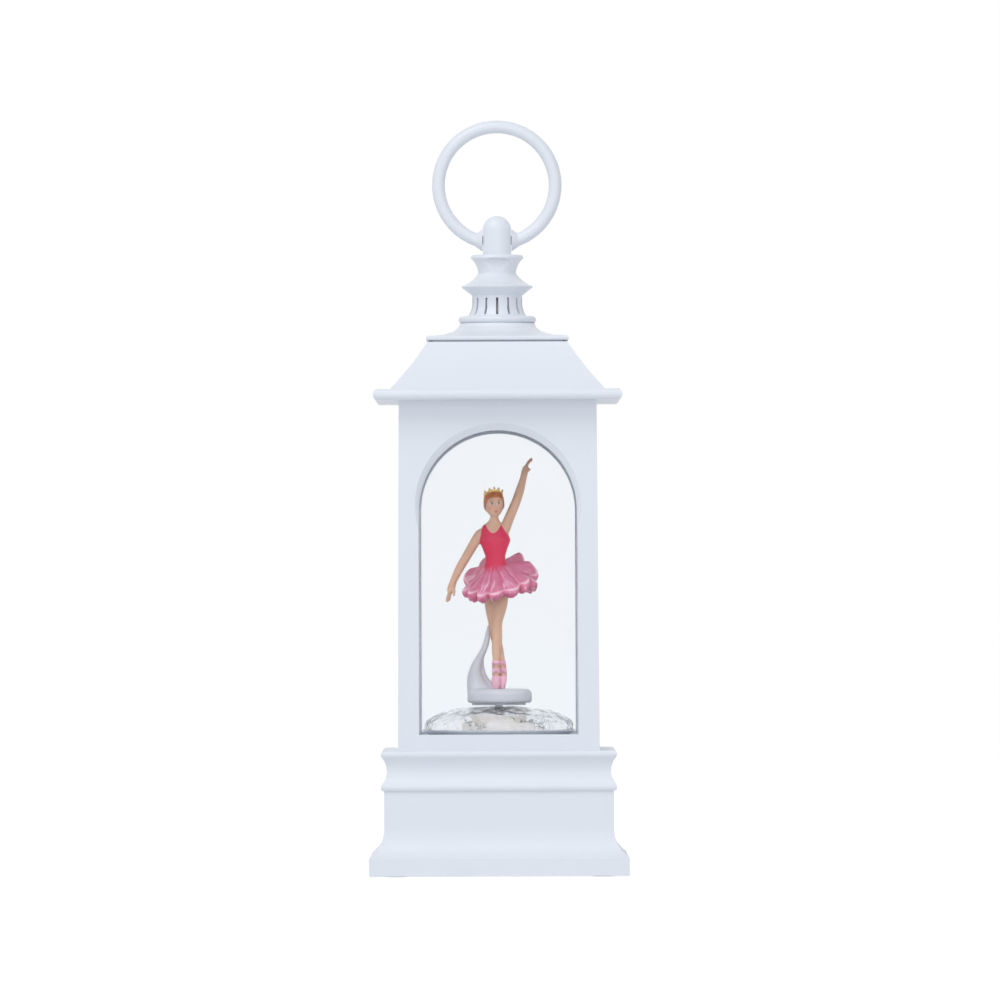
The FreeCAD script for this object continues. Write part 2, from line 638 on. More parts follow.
outer = loft([free_sketch(square_outline("body_width"), UPRIGHT, z=DECK),
              free_sketch(square_outline("body_top_width"), UPRIGHT, z=EAVE)])
hollow = block(f"2 * ({body_inner})", f"2 * ({body_inner})", "body_rise + 2", "0", "0", f"{DECK} - 1")
corner_posts = [block("post_side", "post_side", "body_rise", x, y, DECK) for x, y in body_places]
body_mean = "(body_width + body_top_width) / 4"
CLEAR = ("0", "0", "0")
BEVELLED = ("2 * bevel_side", "2 * bevel_crown", "2 * bevel_fade")
window_tools = []
for quarter in range(4):
    facing = Rotation(Vector(0, 0, 1), 90 * quarter) * FACING_FRONT
    out_x, out_y = [("0", "-1"), ("1", "0"), ("0", "1"), ("-1", "0")][quarter]
    rings = [free_sketch(arch(*let_out), facing, f"{out_x} * ({reach})", f"{out_y} * ({reach})", DECK)
             for let_out, reach in ((CLEAR, f"{body_mean} - bevel_depth"),
                                    (BEVELLED, f"{body_mean} + bevel_depth"))]
    window_tools.append(loft(rings))
    if quarter < 2:
        window_tools.append(extrude(free_sketch(arch(*CLEAR), facing, z=DECK), "body_width + 2"))
pilots = [rod("screw_radius", "body_pilot + 2", x, y, f"{DECK} - 1") for x, y in body_places]
body_frame = cut(fuse(cut(outer, hollow), *corner_posts), *window_tools, *pilots)
piece(body_frame, "body_frame")
body_reach = "deck_thick + body_pilot"
piece(group(*[screw(x, y, UNDER_DECK, body_reach, False) for x, y in body_places]), "body_screws")

pane_width = f"2 * ({body_inner} - post_side - fit_play)"
pane_rise = "body_rise - tab_drop - 0.5"
pane_middle = f"({body_inner} - pane_thick / 2)"
for side, out_x, out_y in (("front", 0, -1), ("right", 1, 0), ("back", 0, 1), ("left", -1, 0)):
    flat = (pane_width, "pane_thick") if out_y else ("pane_thick", pane_width)
    piece(block(*flat, pane_rise, f"{out_x} * {pane_middle}", f"{out_y} * {pane_middle}", DECK),
          f"pane_{side}")

# Roof, plugged into the body by four tabs.
slope_run = "(roof_low_width - roof_top_width) / 2"
slope = f"sqrt(({slope_run}) ^ 2 + roof_rise ^ 2)"
eave_in = "eave_width / 2 - eave_nose"
roof_side = [
    (eave_in, EAVE),
    (eave_in, EAVE_TOP, crown_of("eave_rise", "eave_nose"), "bulge"),
    ("roof_low_width / 2", EAVE_TOP),
    ("roof_top_width / 2", ROOF, crown_of(slope, "roof_sag"), "hollow"),
]
attic = f"{body_inner} - tab_thick / 2 - fit_play"
attic_side = [
    (attic, f"{EAVE} - 1"),
    (attic, EAVE_TOP),
    ("roof_top_width / 2 - roof_wall", f"{ROOF} - roof_wall"),
]
tab_middle = f"({body_inner} - fit_play - tab_thick / 2)"
tabs = []
for out_x, out_y in ((0, -1), (1, 0), (0, 1), (-1, 0)):
    flat = ("tab_length", "tab_thick") if out_y else ("tab_thick", "tab_length")
    tabs.append(block(*flat, "tab_drop + 1", f"{out_x} * {tab_middle}", f"{out_y} * {tab_middle}",
                      f"{EAVE} - tab_drop"))
roof_solid = cut(square_moulding(roof_side, "eave_width + 2"), square_moulding(attic_side, "eave_width + 2"))
bolt_hole = rod("bolt_radius + fit_play", f"{CAP} - ({ROOF}) + roof_wall + 2", "0", "0",
                f"{ROOF} - roof_wall - 1")
piece(cut(fuse(roof_solid, *tabs), bolt_hole), "roof_shell")

# Roof cap: square rim, flare from square to round, round moulding.
rim_in = "cap_width / 2 - cap_nose"
rim = square_moulding([(rim_in, CAP_RIM), (rim_in, CAP_FLARE, crown_of("cap_rim_rise", "cap_nose"), "bulge")],
                      "cap_width + 2")
seat = block("cap_seat_width", "cap_seat_width", "cap_seat_rise + cap_rim_rise / 2", "0", "0", ROOF)


def rounded_square(half, corner):
    flat = f"({half} - ({corner}))"
    return [
        (half, f"-{flat}", corner, "bulge"), (half, flat), (flat, half, corner, "bulge"), (f"-{flat}", half),
        (f"-({half})", flat, corner, "bulge"), (f"-({half})", f"-{flat}"),
        (f"-{flat}", f"-({half})", corner, "bulge"), (flat, f"-({half})"),
    ]


flare_sections = []
for part_way, squareness in ((0.0, 0.06), (0.32, 0.25), (0.6, 0.55), (0.82, 0.8), (1.0, 0.97)):
    swing = 90 * (1 - part_way)
    half = f"({rim_in} - ({rim_in} - cap_neck_radius) * cos({swing} * 1 deg))"
    level = f"{CAP_FLARE} + cap_flare_rise * (1 - sin({swing} * 1 deg))"
    flare_sections.append(free_sketch(rounded_square(half, f"{half} * {squareness}"), UPRIGHT, z=level))
roll = place(sized("Part::Torus", Radius1="roll_circle", Radius2="roll_radius"), z=ROLL)
roll_core = rod("roll_circle", "2 * roll_radius", "0", "0", f"{ROLL} - roll_radius")
piece(cut(fuse(seat, rim, loft(flare_sections), roll, roll_core), bolt_hole), "roof_cap")

# Vent collar with upright slots.
collar_in = "collar_radius - collar_wall"
flare_step = "(collar_foot_radius - collar_radius)"
flare_arc = f"({flare_step} ^ 2 + collar_flare ^ 2) / (2 * {flare_step})"
collar_side = [
    (collar_in, CAP),
    ("collar_foot_radius", CAP),
    ("collar_radius", f"{CAP} + collar_flare", flare_arc, "hollow"),
    ("collar_radius", COLLAR),
    (collar_in, COLLAR),
]
collar = turned(collar_side)
slot_cut = collar.newObject("PartDesign::Pocket", "Slot")
slot_cut.Profile = body_sketch(collar, "XZ_Plane", box_outline("0", f"{CAP} + slot_low + slot_rise / 2",
                                                               "slot_width / 2", "slot_rise / 2"))
slot_cut.setExpression("Length", bind("collar_foot_radius + 1"))
slot_cut.Reversed = True
slots = collar.newObject("PartDesign::PolarPattern", "Slots")
slots.Originals = [slot_cut]
slots.Axis = (slot_cut.Profile[0], ["V_Axis"])
slots.Angle = 360
slots.setExpression("Occurrences", bind("slot_count"))
collar.Tip = slots
piece(collar, "vent_collar")

# Finial with the hinge post of the ring.
brim = f"{COLLAR} + brim_rise"
brim_top = f"{brim} + brim_edge"
skirt_run = "(brim_radius - neck_radius)"
skirt_rise = "(neck_low - brim_rise - brim_edge)"
crown_run = "(crown_radius - neck_radius)"
finial_side = [
    ("0", COLLAR),
    ("collar_radius", COLLAR),
    ("brim_radius", brim),
    ("brim_radius", brim_top),
    ("neck_radius", NECK, crown_of(f"sqrt({skirt_run} ^ 2 + {skirt_rise} ^ 2)", "skirt_sag"), "hollow"),
    ("crown_radius", CROWN_EDGE, f"({crown_run} ^ 2 + crown_rise ^ 2) / (2 * {crown_run})", "hollow"),
    ("crown_radius - crown_lip / 2", CROWN, "crown_lip", "bulge"),
    ("0", CROWN),
]
post_arch = [
    ("hinge_post_width / 2", f"{CROWN} - 1"),
    ("hinge_post_width / 2", f"{CROWN} + hinge_post_rise - hinge_post_width / 2"),
    ("0", f"{CROWN} + hinge_post_rise", "hinge_post_width / 2", "bulge"),
]
post_top = f"{CROWN} + hinge_post_rise - hinge_post_width / 2"
post_round = fuse(
    rod("hinge_post_depth / 2", "hinge_post_rise - hinge_post_width / 2 + 1", "0", "0", f"{CROWN} - 1"),
    place(sized("Part::Sphere", Radius="hinge_post_depth / 2"), z=post_top),
)
post_slab = extrude(free_sketch(mirrored(post_arch), FACING_FRONT), "hinge_post_depth + 2")
hinge_post = common(post_slab, post_round)
scoop_bed = "(neck_radius - scoop_depth)"
scoop_level = f"{CROWN} - scoop_lip - scoop_radius"
scoops = []
for way in (1, -1):
    scoop_start = scoop_bed if way > 0 else f"-{scoop_bed} - crown_radius"
    scoop_room = block("scoop_width", "crown_radius", "crown_rise + crown_lip", "0",
                       f"{scoop_start} + crown_radius / 2", NECK)
    scoop_arch = rod("scoop_radius", "crown_radius", "0", scoop_start, scoop_level, ALONG_Y)
    scoops.append(common(scoop_arch, scoop_room))
finial = cut(
    fuse(turned(finial_side), hinge_post),
    *scoops,
    rod("stub_radius + run_play", "hinge_post_width + 2", "-(hinge_post_width / 2 + 1)", "0", PIVOT, ALONG_X),
    rod("bolt_radius", "bolt_reach + 1.5", "0", "0", f"{COLLAR} - 1"),
)
piece(finial, "finial")
bolt_seat = f"{ROOF} - roof_wall"
tie_bolt = fuse(rod("bolt_head_radius", "bolt_head_rise", "0", "0", f"{bolt_seat} - bolt_head_rise"),
                rod("bolt_radius", f"{COLLAR} - ({bolt_seat}) + bolt_reach", "0", "0", bolt_seat))
piece(tie_bolt, "tie_bolt")

# Carrying ring: an open ring whose flared ends carry the pivot stubs.
boss_start = "hinge_post_width / 2 + boss_gap"
gap_turn = math.degrees(math.asin(num(f"({boss_start} + boss_lap) / ring_radius")))
bow = sized("Part::Torus", Radius1="ring_radius", Radius2="ring_tube")
bow.Angle3 = 360 - 2 * gap_turn
place(bow, z=f"{PIVOT} + ring_centre_rise", turn=FACING_FRONT * Rotation(Vector(0, 0, 1), gap_turn - 90))
ring_parts = [bow]
for way in (1, -1):
    boss = sized("Part::Cone", Radius1="boss_radius", Radius2="boss_throat", Height="boss_length")
    ring_parts.append(place(boss, f"{way} * ({boss_start})", "0", PIVOT, Rotation(Vector(0, 1, 0), 90 * way)))
    stub = f"{boss_start} - stub_length" if way > 0 else f"-({boss_start}) - 0.5"
    ring_parts.append(rod("stub_radius", "stub_length + 0.5", stub, "0", PIVOT, ALONG_X))
piece(fuse(*ring_parts), "ring_handle")

# Chamber floor, stage ring and clear dome.
floor_long = f"2 * ({body_inner} - pane_thick - fit_play)"
floor_short = f"2 * ({body_inner} - post_side - fit_play)"
chamber_floor = cut(
    fuse(block(floor_long, floor_short, "floor_rise", "0", "0", DECK),
         block(floor_short, floor_long, "floor_rise", "0", "0", DECK)),
    rod("floor_hole_radius", "floor_rise + 2", "0", "0", f"{DECK} - 1"),
)
piece(chamber_floor, "chamber_floor")
stage_side = [
    ("floor_hole_radius", FLOOR),
    ("stage_radius - stage_bevel", FLOOR),
    ("stage_radius", f"{STAGE} - stage_edge"),
    ("stage_radius", STAGE),
    ("floor_hole_radius", STAGE),
]
piece(turned(stage_side), "stage_ring")
dome_outer = sized("Part::Ellipsoid", Radius1="dome_rise", Radius2="dome_radius", Radius3="dome_radius")
dome_inner = sized("Part::Ellipsoid", Radius1="dome_rise - dome_wall", Radius2="dome_radius - dome_wall",
                   Radius3="dome_radius - dome_wall")
for half_dome in (dome_outer, dome_inner):
    half_dome.Angle1 = 0
    half_dome.Angle2 = 90
    place(half_dome, z=STAGE)
piece(cut(dome_outer, dome_inner, rod("dome_hole_radius", "dome_rise + 2", "0", "0", STAGE)), "ice_dome")

# Gears: stub involute teeth, each flank one arc through three points of the involute.
PRESSURE = math.radians(25)


def gear(teeth, thick, bore, phase, level):
    """Spur gear about Z with a tooth in the direction of its phase, in degrees."""
    module = num("gear_module")
    pitch = module * teeth / 2
    ground = pitch * math.cos(PRESSURE)
    tip = pitch + 0.8 * module
    root = pitch - 1.05 * module
    low = max(root, ground)
    half_pitch = math.pi / (2 * teeth) - num("gear_backlash") / 2 / pitch

    def involute(angle):
        return math.tan(angle) - angle

    def spot(radius, turn):
        return Vector(radius * math.cos(turn), radius * math.sin(turn), 0)

    def half_angle(radius):
        return half_pitch + involute(PRESSURE) - involute(math.acos(min(ground / radius, 1)))

    edges = []
    for tooth in range(teeth):
        middle = math.radians(phase) + 2 * math.pi * tooth / teeth
        following = middle + 2 * math.pi / teeth
        stations = (low, (low + tip) / 2, tip)
        rising = [spot(radius, middle - half_angle(radius)) for radius in stations]
        falling = [spot(radius, middle + half_angle(radius)) for radius in reversed(stations)]
        root_near = spot(root, middle + half_angle(low))
        root_far = spot(root, following - half_angle(low))
        if low > root:
            edges.append(Part.LineSegment(spot(root, middle - half_angle(low)), rising[0]).toShape())
        edges.append(Part.Arc(*rising).toShape())
        edges.append(Part.Arc(rising[-1], spot(tip, middle), falling[0]).toShape())
        edges.append(Part.Arc(*falling).toShape())
        if low > root:
            edges.append(Part.LineSegment(falling[-1], root_near).toShape())
        edges.append(Part.Arc(root_near, spot(root, middle + math.pi / teeth), root_far).toShape())
    blank = Part.Face(Part.Wire(Part.__sortEdges__(edges))).extrude(Vector(0, 0, thick))
    return blank.cut(Part.makeCylinder(bore, thick)).translated(Vector(0, 0, level))


def made(shape, x="0", y="0", z="0"):
    """Document object for a shape built from sheet sizes about its own origin."""
    obj = doc.addObject("Part::Feature", "Made")
    obj.Shape = shape
    return place(obj, x, y, z)


GEAR_LOW = f"{DECK} + box_floor + gear_gap"
GEAR_HIGH = f"{GEAR_LOW} + gear_low_rise + gear_gap"
BOX_ROOF = f"{GEAR_HIGH} + gear_high_rise + gear_gap"
BOX_TOP = f"{BOX_ROOF} + box_wall"
small, large, final = (int(num(name)) for name in ("small_teeth", "idler_teeth", "spindle_teeth"))
bearing = num("pinion_bearing")
low_rise, high_rise, step = num("gear_low_rise"), num("gear_high_rise"), num("gear_gap")
axle_bore = num("axle_radius + run_play")
small_face = -90 + 180 / small
hub = Part.makeCylinder(num("gear_module * small_teeth / 2 - 1.05 * gear_module"), step)
hub = hub.cut(Part.makeCylinder(axle_bore, step)).translated(Vector(0, 0, low_rise))
idler = gear(large, low_rise, axle_bore, bearing, 0)
idler = idler.fuse([hub, gear(small, high_rise, axle_bore, small_face, low_rise + step)]).removeSplitter()
piece(made(idler, "0", idler_y, GEAR_LOW), "idler_gear")
pinion = gear(small, low_rise, num("axle_radius"), bearing + 180 + 180 / small, 0)
piece(made(pinion, motor_x, motor_y, GEAR_LOW), "motor_pinion")
piece(made(gear(final, high_rise, num("spindle_radius"), 90, 0), "0", "0", GEAR_HIGH), "spindle_gear")

blind = f"{DECK} + 0.7"
box_depth = "(box_front + box_back)"
box_middle = "(box_back - box_front) / 2"
box_plan = box_outline("0", box_middle, "box_width / 2", f"{box_depth} / 2")
motor_screw_turn = "(pinion_bearing + 90) * 1 deg"
motor_screws = [(f"{motor_x} {sign} motor_screw_reach * cos({motor_screw_turn})",
                 f"{motor_y} {sign} motor_screw_reach * sin({motor_screw_turn})") for sign in "+-"]
head_play = "screw_head_radius + fit_play"
gearbox_base = cut(
    padded([box_plan], "box_floor", DECK),
    rod("spindle_radius + run_play", "box_floor", "0", "0", blind),
    rod("axle_radius", "box_floor", "0", idler_y, blind),
    rod("axle_radius + 0.4", "box_floor + 2", motor_x, motor_y, f"{DECK} - 1"),
    *[rod("screw_radius", "box_floor + 2", x, y, f"{DECK} - 1") for x, y in box_screws + motor_screws],
    *[rod(head_play, "box_floor", x, y, f"{DECK} + box_floor - screw_head_rise") for x, y in motor_screws],
)
piece(gearbox_base, "gearbox_base")
box_low = f"{DECK} + box_floor"
box_rise = f"{BOX_TOP} - ({box_low})"
box_bosses = [rod("2.2", box_rise, x, y, box_low) for x, y in box_screws]
box_hollow = block("box_width - 2 * box_wall", f"{box_depth} - 2 * box_wall", f"{BOX_ROOF} - ({box_low}) + 1",
                   "0", box_middle, f"{box_low} - 1")
box_shell = cut(padded([box_plan], box_rise, box_low), box_hollow)
boss_walls = common(fuse(*box_bosses), padded([box_plan], box_rise, box_low))
gearbox_cover = cut(
    fuse(box_shell, boss_walls, rod("hub_radius", "hub_rise", "0", "0", BOX_TOP)),
    rod("spindle_radius + run_play", "box_wall + hub_rise + 2", "0", "0", f"{BOX_ROOF} - 1"),
    rod("axle_radius", "box_wall / 2 + 1", "0", idler_y, f"{BOX_ROOF} - 1"),
    *[rod("screw_radius", f"{box_rise} + 2", x, y, f"{box_low} - 1") for x, y in box_screws],
)
piece(gearbox_cover, "gearbox_cover")
box_reach = f"{BOX_TOP} - ({UNDER_DECK})"
piece(group(*[screw(x, y, BOX_TOP, box_reach) for x, y in box_screws]), "gearbox_screws")
axle_reach = f"{BOX_ROOF} + box_wall / 2 - ({blind})"
piece(rod("axle_radius", axle_reach, "0", idler_y, blind), "idler_axle")

# Spindle and turntable.
spindle_foot = f"{blind} + run_play"
piece(rod("spindle_radius", f"{STAND} - ({spindle_foot})", "0", "0", spindle_foot), "spindle")
turntable = cut(rod("table_radius", "table_thick", "0", "0", TABLE),
                rod("spindle_radius", "table_thick + 2", "0", "0", f"{TABLE} - 1"))
piece(turntable, "turntable")

# Motor under the gearbox.
shaft_foot = f"{DECK} - motor_length / 2"
motor_can = cut(
    rod("motor_radius", "motor_length", motor_x, motor_y, f"{DECK} - motor_length"),
    rod("axle_radius + run_play", "motor_length", motor_x, motor_y, f"{shaft_foot} - 0.2"),
    *[rod("screw_radius", "motor_pilot + 1", x, y, f"{DECK} - motor_pilot") for x, y in motor_screws],
)
piece(motor_can, "motor_can")
shaft_length = f"{GEAR_LOW} + gear_low_rise - ({shaft_foot})"
piece(rod("axle_radius", shaft_length, motor_x, motor_y, shaft_foot), "motor_shaft")
motor_head = f"{DECK} + box_floor - screw_head_rise"
motor_reach_down = f"{motor_head} - ({DECK}) + motor_pilot"
piece(group(*[screw(x, y, motor_head, motor_reach_down) for x, y in motor_screws]), "motor_screws")

# Lamps on both sides of the gearbox.
lamps = []
for side, way in (("left", "-"), ("right", "")):
    lamp_x = f"{way}lamp_offset"
    lamp_board = block("lamp_board_width", "lamp_board_depth", "lamp_board_thick", lamp_x, "0", DECK)
    piece(lamp_board, f"lamp_board_{side}")
    lamp_foot = f"{DECK} + lamp_board_thick"
    for lamp_y in ("-lamp_spread", "lamp_spread"):
        lens_level = f"{lamp_foot} + lamp_rise - lamp_radius"
        lens = place(sized("Part::Sphere", Radius="lamp_radius"), lamp_x, lamp_y, lens_level)
        lamps.append(fuse(rod("lamp_radius", "lamp_rise - lamp_radius", lamp_x, lamp_y, lamp_foot), lens))
piece(group(*lamps), "lamps")

# Bottom cover with battery tray, battery door, rubber feet.
cover_half = f"({foot_inner} - cover_play)"
cell_pitch = "(2 * cell_radius + cell_gap)"
cell_end = "(cell_length + cell_button) / 2"
tray_half_x = f"({cell_end} + contact_room)"
tray_half_y = f"({cell_pitch} + cell_radius + tray_play)"
tray_rise = "(2 * cell_radius + cell_lift + tray_head)"


def door_outline(play):
    """Door with a screw ear at the front and at the back."""
    side_x = f"{tray_half_x} - {play}"
    ear_x = f"ear_width / 2 - {play}"
    side_y = f"({tray_half_y} - {play})"
    ear_y = f"({tray_half_y} + ear_reach - {play})"
    right = [(ear_x, f"tray_middle - {ear_y}"), (ear_x, f"tray_middle - {side_y}"),
             (side_x, f"tray_middle - {side_y}"), (side_x, f"tray_middle + {side_y}"),
             (ear_x, f"tray_middle + {side_y}"), (ear_x, f"tray_middle + {ear_y}")]
    return mirrored(right)


ear_places = [("0", f"tray_middle {sign} ({tray_half_y} + ear_reach / 2)") for sign in "+-"]
cover_outlines = [box_outline("0", "0", cover_half, cover_half), door_outline("0")]
cover_plate = padded(cover_outlines, "cover_thick", "pad_rise")
ear_bosses = [block("ear_width + 2 * tray_wall", "ear_reach + 2 * tray_wall", "ear_rise", x, y, COVER)
              for x, y in ear_places]
tray_shell = block(f"2 * ({tray_half_x} + tray_wall)", f"2 * ({tray_half_y} + tray_wall)",
                   f"{tray_rise} + tray_wall", "0", "tray_middle", COVER)
tray = cut(
    fuse(tray_shell, *ear_bosses),
    block(f"2 * {tray_half_x}", f"2 * {tray_half_y}", f"{tray_rise} + 1", "0", "tray_middle", f"{COVER} - 1"),
    *[rod("screw_radius + run_play", "door_pilot + 1", x, y, f"{COVER} - 1") for x, y in ear_places],
)
grille = [rod("grille_radius", "cover_thick + 2", "speaker_x", "speaker_y", "pad_rise - 1")]
for ring, holes in ((1, 6), (2, 12)):
    for k in range(holes):
        swing = f"{360 * k / holes} * 1 deg"
        grille.append(rod("grille_radius", "cover_thick + 2",
                          f"speaker_x + {ring} * grille_pitch * cos({swing})",
                          f"speaker_y + {ring} * grille_pitch * sin({swing})", "pad_rise - 1"))
slot_length = "switch_travel + knob_length + 0.6"
bottom_cover = cut(
    fuse(cover_plate, tray),
    *grille,
    block(slot_length, "knob_width + 0.6", "cover_thick + 2", "switch_x", "switch_y", "pad_rise - 1"),
    *[rod("screw_radius + fit_play", "cover_thick + 2", x, y, "pad_rise - 1") for x, y in cover_places],
)
piece(bottom_cover, "bottom_cover")
cover_reach = "cover_thick + cover_pilot"
piece(group(*[screw(x, y, "pad_rise", cover_reach, False) for x, y in cover_places]), "cover_screws")
pad_offset = "foot_width / 2 - pad_inset"
pads = [rod("pad_radius", "pad_rise", x, y, "0") for x, y in corner_set(pad_offset, pad_offset)]
piece(group(*pads), "rubber_feet")
door_holes = [rod("screw_radius", "door_thick + 2", x, y, "pad_rise - 1") for x, y in ear_places]
piece(cut(padded([door_outline("cover_play")], "door_thick", "pad_rise"), *door_holes), "battery_door")
door_reach = "door_thick + door_pilot"
piece(group(*[screw(x, y, "pad_rise", door_reach, False) for x, y in ear_places]), "door_screws")

# Battery cells and contact plates.
cell_level = f"{COVER} + cell_radius + cell_lift"
for k in (-1, 0, 1):
    y = f"tray_middle + {k} * {cell_pitch}"
    start = "-(cell_length + cell_button) / 2"
    cell = fuse(rod("cell_radius", "cell_length", start, y, cell_level, ALONG_X),
                rod("button_radius", "cell_length + cell_button", start, y, cell_level, ALONG_X))
    piece(cell, f"battery_cell_{k + 2}")
for side, way in (("left", "-"), ("right", "")):
    plates = [block("contact_thick", f"2 * {tray_half_y} - 2", "contact_rise",
                    f"{way}({tray_half_x} - contact_thick / 2)", "tray_middle",
                    f"{cell_level} - contact_rise / 2")]
    for k in (-1, 0, 1):
        plates.append(block("contact_room", "tongue_side", "tongue_side",
                            f"{way}({cell_end} + contact_room / 2)",
                            f"tray_middle + {k} * {cell_pitch}", f"{cell_level} - tongue_side / 2"))
    piece(fuse(*plates), f"contact_{side}")

# Loudspeaker over the grille.
speaker_in = "speaker_radius - speaker_lip"
speaker_back = f"{COVER} + speaker_rise"
cone_back = f"{speaker_back} - speaker_wall - cone_wall"
speaker_side = [
    (speaker_in, COVER),
    ("speaker_radius", COVER),
    ("speaker_radius", f"{COVER} + speaker_edge"),
    ("magnet_radius + speaker_wall", speaker_back),
    ("speaker_eye", speaker_back),
    ("speaker_eye", f"{speaker_back} - speaker_wall"),
    ("magnet_radius", f"{speaker_back} - speaker_wall"),
    (speaker_in, f"{COVER} + speaker_edge - cone_wall / 3"),
]
cone_side = [
    ("0", f"{cone_back} - cone_wall"),
    ("cone_hub", f"{cone_back} - cone_wall"),
    (speaker_in, COVER),
    (speaker_in, f"{COVER} + cone_wall"),
    ("cone_hub", cone_back),
    ("0", cone_back),
]
piece(place(turned(speaker_side), "speaker_x", "speaker_y"), "speaker_frame")
piece(place(turned(cone_side), "speaker_x", "speaker_y"), "speaker_cone")
magnet = rod("magnet_radius", "magnet_rise", "speaker_x", "speaker_y", f"{COVER} + speaker_rise")
piece(magnet, "speaker_magnet")

# Slide switch, knob at its off end.
nest_length = "switch_travel + slider_length + 0.6"
switch_body = cut(block(f"{nest_length} + 2.4", "switch_depth", "switch_rise", "switch_x", "switch_y", COVER),
                  block(nest_length, "nest_depth", "2.4", "switch_x", "switch_y", f"{COVER} - 1"))
piece(switch_body, "switch_body")
knob_x = "switch_x - switch_travel / 2"
slider_level = f"{COVER} + 0.2"
knob_rise = f"{slider_level} - knob_drop + 0.2"
switch_knob = fuse(block("knob_length", "knob_width", knob_rise, knob_x, "switch_y", "knob_drop"),
                   block("slider_length", "slider_width", "1", knob_x, "switch_y", slider_level))
piece(switch_knob, "switch_knob")

# Sound board on the battery tray.
tray_top = f"{COVER} + {tray_rise} + tray_wall"
board_y = f"tray_middle + {tray_half_y} - board_depth / 2 - 1"
piece(block("board_length", "board_depth", "board_thick", "0", board_y, tray_top), "sound_board")
board_top = f"{tray_top} + board_thick"
board_parts = [block("chip_side", "chip_side", "chip_rise", "-board_length / 5", board_y, board_top),
               block("plug_rise + 1", "plug_rise + 3", "plug_rise", "board_length * 0.3", board_y, board_top),
               rod("capacitor_radius", "capacitor_rise", "board_length / 12", board_y, board_top)]
piece(group(*board_parts), "board_parts")

# Figure stand: rounded puck with a horn that props the back knee.
stand_in = "stand_radius - stand_round"
stand_side = [
    ("0", STAND),
    (stand_in, STAND),
    ("stand_radius", f"{STAND} + stand_round", "stand_round", "bulge"),
    ("stand_radius", f"{FEET} - stand_round"),
    (stand_in, FEET, "stand_round", "bulge"),
    ("0", FEET),
]


def limb(stations):
    """Round limb through stations of middle and radius, square to its own line."""
    rings = []
    for k, (middle, radius) in enumerate(stations):
        before = stations[max(k - 1, 0)][0]
        after = stations[min(k + 1, len(stations) - 1)][0]
        rings.append(Part.Wire(Part.Circle(middle, (after - before).normalize(), radius).toShape()))
    return Part.makeLoft(rings, True, False)


def stack(stations):
    """Upright form through level ovals of middle, half width and half depth."""
    rings = []
    for middle, half_width, half_depth in stations:
        oval = Part.Ellipse(Vector(), max(half_width, half_depth), min(half_width, half_depth))
        ring = oval.toShape()
        if half_depth > half_width:
            ring.rotate(Vector(), Vector(0, 0, 1), 90)
        ring.translate(middle)
        rings.append(Part.Wire(ring))
    return Part.makeLoft(rings, True, False)


horn_stations = [(Vector(num("horn_low_x"), 0.5, -num("stand_rise") / 2), num("horn_low_radius"))]
for spot, back in (("bend", 0.15), ("mid", 0.4), ("high", 0.7), ("tip", 1.0)):
    middle = Vector(num(f"horn_{spot}_x"), num("horn_back") * back, num(f"horn_{spot}_rise"))
    horn_stations.append((middle, num(f"horn_{spot}_radius")))
piece(fuse(turned(stand_side), made(limb(horn_stations), z=FEET)), "figure_stand")

# Legs on the tips of the shoes, the back leg crossing behind the front one.


def leg_form(leg, spots):
    """Part of a leg: each spot is its height name, its sideways name and its thickness name."""
    depth = num(f"{leg}_leg_y")
    return stack([(Vector(num(f"{leg}_{x}_x"), depth, num(level)), num(radius), num(radius))
                  for level, x, radius in spots])


leg_spots = [("ankle_rise", "ankle", "ankle_radius"), ("calf_rise", "calf", "calf_radius"),
             ("knee_rise", "knee", "knee_radius"), ("thigh_rise", "thigh", "thigh_radius"),
             ("hip_rise", "hip", "thigh_radius")]
shoe_spots = [("toe_sink", "toe", "tip_radius"), ("toe_rise", "toe", "toe_radius"),
              ("arch_rise", "ankle", "arch_radius"), ("ankle_rise", "ankle", "ankle_radius")]
for label, spots in (("legs", leg_spots), ("shoes", shoe_spots)):
    pair = [made(leg_form(leg, spots), z=FEET) for leg in ("front", "back")]
    piece(fuse(*pair), label)

# Skirt: folded rings from the waist out to the tilted hem and back in underneath.
folds = int(num("skirt_folds"))


def frill(radius, level, tilt, wave, x):
    """Closed ring of folds; the tilt lifts its back and lowers its front."""
    spots = []
    steps = 6 * folds
    for k in range(steps):
        turn = 2 * math.pi * k / steps
        fold = math.cos(folds * turn)
        reach = radius * (1 + 0.05 * fold * (wave > 0))
        spots.append(Vector(x + reach * math.cos(turn), reach * math.sin(turn),
                            level + tilt * math.sin(turn) + wave * fold))
    ring = Part.BSplineCurve()
    ring.interpolate(Points=spots, PeriodicFlag=True)
    return Part.Wire(ring.toShape())


hem, hem_x, hem_tilt = num("skirt_radius"), num("skirt_x"), num("skirt_tilt")
hem_level, hem_wave, hem_edge = num("skirt_level"), num("skirt_wave"), num("skirt_edge")
waist_x, waist_half, seam = num("waist_x"), num("waist_half"), num("skirt_seam")
gather, puff = num("waist_rise - skirt_gather"), num("skirt_puff")
rings = [
    frill(waist_half + seam, gather, 0, 0, waist_x),
    frill(hem * 0.62, (gather + hem_level) / 2 + puff, hem_tilt * 0.5, hem_wave * 0.6, hem_x / 2),
    frill(hem, hem_level, hem_tilt, hem_wave, hem_x),
    frill(hem - hem_edge / 2, hem_level - hem_edge, hem_tilt, hem_wave, hem_x),
    frill(hem * 0.58, (gather + hem_level) / 2 - puff, hem_tilt * 0.45, hem_wave * 0.5, hem_x / 2),
    frill(waist_half - seam, gather - num("skirt_root"), 0, 0, waist_x),
]
piece(made(Part.makeLoft(rings, True, True), z=FEET), "skirt")

# Bodice and bare chest meet at the neckline.


